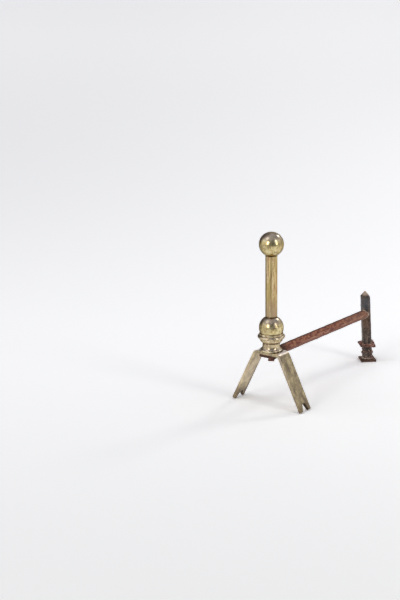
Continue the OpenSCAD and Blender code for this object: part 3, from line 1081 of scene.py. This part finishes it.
def make_tie_rod():
    """A rod with the ridges of a thread round its low end."""
    radius = (rod_high.x - rod_low.x) / 2
    pitch = 1.25 * MM
    threads = 12
    root = radius - 0.6 * MM
    low = rod_low.z
    profile = [(root - 0.4 * MM, low), (root, low + 0.3 * MM)]
    for i in range(threads):
        ridge = low + (i + 0.6) * pitch
        profile += [(radius - 0.05 * MM, ridge), (root, ridge + pitch / 2)]
    profile += [(radius, low + (threads + 1) * pitch), (radius, rod_high.z)]
    piece = turned("tie_rod_threaded", profile, steps=48)
    smooth(piece, 25)
    dress(piece, NUT_IRON, "dark_iron", "tie_rod")


def make_rod_nut():
    """A hand-cut nut: six flats, a little out of true."""
    piece = begin(
        "rod_nut_cut",
        bpy.ops.mesh.primitive_cylinder_add,
        vertices=6,
        radius=(nut_high.x - nut_low.x) / 2,
        depth=nut_high.z - nut_low.z,
        location=(0, COLUMN_Y, (nut_low.z + nut_high.z) / 2),
        rotation=(0, 0, NUT_TURN),
    )
    soften(piece, 0.4 * MM, 20)
    cut_rings(piece, (0, 0, 1), nut_low.z + 1 * MM, nut_high.z, 1.2 * MM)
    hammer(piece, 5 * MM, 0.5 * MM)
    smooth(piece)
    dress(piece, NUT_IRON, "dark_iron", "rod_nut")


def make_nut_crust():
    """Rust that has grown over the end of the rod below its nut, in a block."""
    low, high = rod_low.z + 0.4 * MM, nut_low.z + 1 * MM
    piece = block("nut_crust", (0, 0, (low + high) / 2), (15.5 * MM, 14 * MM, high - low))
    soften(piece, 1.2 * MM)
    for axis in ((1, 0, 0), (0, 1, 0)):
        cut_rings(piece, axis, -6 * MM, 7 * MM, 1 * MM)
    put(piece, (0, COLUMN_Y, 0), (0, 0, NUT_TURN))
    hammer(piece, 4 * MM, 1.2 * MM)
    smooth(piece, 45)
    dress(piece, NUT_IRON, "dark_iron")


make_leg_strap()
make_billet_bar()
make_rear_post()
make_bar_rim()
make_post_collar()
make_foot_plate()
make_foot_ring()
make_foot_lumps()
make_ball(
    "finial_ball_polished", finial_high.z - BALL_R, finial_low.z, finial_high.z, "finial_ball"
)
make_column()
make_ball("knop_ball_polished", cup_high.z + KNOP_RISE, knop_low.z, knop_high.z, "knop_ball")
make_cup()
make_pedestal()
make_tie_rod()
make_rod_nut()
make_nut_crust()

# ---------------------------------------------------------------- floor, lamps and camera

# The photograph's viewpoint: how far the camera stands off the column, and how it is tilted
CAMERA_SIDE = math.radians(37.46)
CAMERA_PITCH = math.radians(15.657)
CAMERA_ROLL = math.radians(-0.557)
CAMERA_FROM_COLUMN = Vector((2.312, -3.290, 0))
CAMERA_HEIGHT = 1.3829
FOCAL_PIXELS = 1795.4
FRAME_PIXELS = 600
SENSOR = 36.0
# The height that the lamps are aimed at, a little above the middle of the andiron
AIM_HEIGHT = 0.25
FLOOR_SIDE = 24
# The way to the dark side of the studio, a little to the right of the camera
DARK_DOORWAY = (0.208, -0.978, 0)


def make_camera():
    camera_data = bpy.data.cameras.new("camera")
    camera_data.sensor_width = SENSOR
    camera_data.lens = FOCAL_PIXELS / FRAME_PIXELS * SENSOR
    camera_data.clip_end = 100
    camera = bpy.data.objects.new("camera", camera_data)
    scene.collection.objects.link(camera)
    camera.location = Vector((0, COLUMN_Y, CAMERA_HEIGHT)) + CAMERA_FROM_COLUMN
    turn = Matrix.Rotation(CAMERA_SIDE, 3, "Z")
    turn = turn @ Matrix.Rotation(math.pi / 2 - CAMERA_PITCH, 3, "X")
    camera.rotation_euler = (turn @ Matrix.Rotation(CAMERA_ROLL, 3, "Z")).to_euler()
    scene.camera = camera


def make_floor():
    """A wide sweep of pale matt paper. The camera and the reflections see it paler than the object
    is lit by it, with the shadow on it. The reflections lose it behind on the left and well in
    front, where it ends."""
    grid = {"size": FLOOR_SIDE, "x_subdivisions": 4, "y_subdivisions": 4}
    floor = begin("floor", bpy.ops.mesh.primitive_grid_add, **grid)
    made, tree = new_material("pale_paper")
    place = add(tree, "TexCoord", out="Object")
    place = add(tree, "Mapping", {"Vector": place, "Rotation": (0, 0, -CAMERA_SIDE)})
    x, y = add(tree, "SeparateXYZ", {"Vector": place}).node.outputs[:2]
    ray = add(tree, "LightPath").node.outputs
    left = add(tree, "MapRange", span(x, -0.5, -0.1), **SOFT)
    front = add(tree, "MapRange", span(y, 0.05, -0.12), **SOFT)
    kept = add(tree, "Math", {0: left, 1: front}, **LARGER)
    mirrored = overlap(tree, kept, (y, -2.6, -1.7), ray["Is Glossy Ray"])
    seen = add(tree, "Math", {0: ray["Is Camera Ray"], 1: mirrored}, **PLUS)
    seen = add(tree, "Math", {0: seen, 1: ray["Is Transmission Ray"]}, **PLUS)
    paper = add(tree, "BsdfDiffuse", {"Color": "#eeeeea", "Roughness": 0.0})
    paler = layered(tree, "#000000", ("#ffffff", seen, (y, -1.6, 0.6, 0.35, 0.75)))
    paler = add(tree, "BsdfDiffuse", {"Color": paler, "Roughness": 0.0})
    far = add(tree, "MapRange", span(y, 1.5, 7.0, 0.0, 0.17), **SOFT)
    right = add(tree, "MapRange", span(x, -1.0, 1.0, -0.02, 0.04), **SOFT)
    glow = overlap(tree, seen, add(tree, "Math", {0: far, 1: right}, **PLUS))
    glow = add(tree, "Emission", {"Color": "#f4f4f2", "Strength": glow})
    both = add(tree, "AddShader", {0: paper, 1: paler})
    both = add(tree, "AddShader", {0: both, 1: glow})
    add(tree, "OutputMaterial", {"Surface": both})
    floor.data.materials.append(made)


def make_world():
    """A dim studio: pale walls at the sides near the floor, the left one the paler, a pale
    backdrop, a grey ceiling, and darkness behind the camera and behind the object on the left."""
    world = bpy.data.worlds.new("studio")
    scene.world = world
    world.use_nodes = True
    tree = world.node_tree
    tree.nodes.clear()
    way = add(tree, "TexCoord", out="Generated")
    way = add(tree, "Mapping", {"Vector": way, "Rotation": (0, 0, -CAMERA_SIDE)})
    x, y, z = add(tree, "SeparateXYZ", {"Vector": way}).node.outputs
    ahead = {0: way, 1: DARK_DOORWAY}
    ahead = add(tree, "VectorMath", ahead, "Value", operation="DOT_PRODUCT")
    backdrop = layered(tree, "#dedede", ("#9b9a9a", (z, 0.35, 0.55)))
    tone = layered(
        tree,
        "#aaaab2",  # ceiling
        ("#e6e6e6", (z, 0.66, 0.4)),  # walls
        ("#787c80", (ahead, 0.42, 0.8)),  # behind the camera
        (backdrop, (y, 0.45, 0.8)),
        ("#5c5957", (y, 0.05, 0.5), (x, 0.1, -0.3)),  # behind on the left
    )
    level = add(tree, "MapRange", span(x, -0.6, 0.6, 1.3, 0.88), **SOFT)
    light = add(tree, "Background", {"Color": tone, "Strength": level})
    add(tree, "OutputWorld", {"Surface": light})


def softbox(name, azimuth, elevation, reach, size, glow):
    """A rectangular soft lamp. The azimuth is measured from the camera's side, to the right."""
    lamp_data = bpy.data.lights.new(name, "AREA")
    lamp_data.shape = "RECTANGLE"
    lamp_data.size, lamp_data.size_y = size
    lamp_data.energy = glow * math.pi * size[0] * size[1]
    lamp = bpy.data.objects.new(name, lamp_data)
    scene.collection.objects.link(lamp)
    aim = Vector((0, COLUMN_Y, AIM_HEIGHT))
    side = CAMERA_SIDE + math.radians(azimuth)
    out = Vector((math.sin(side), -math.cos(side), math.tan(math.radians(elevation))))
    lamp.location = aim + out * reach
    lamp.rotation_mode = "QUATERNION"
    lamp.rotation_quaternion = (lamp.location - aim).to_track_quat("Z", "Y")


make_floor()
make_camera()
make_world()
softbox("left_window", -36, 22, 3.6, (1.2, 1.9), 3.5)
softbox("right_window", 50, 25, 3.6, (0.95, 3.0), 3.0)
softbox("back_lamp", 132, 38, 3.8, (0.9, 0.9), 8.0)
softbox("left_top_lamp", -72, 56, 2.4, (1.6, 1.6), 0.9)
scene.view_settings.view_transform = "Standard"
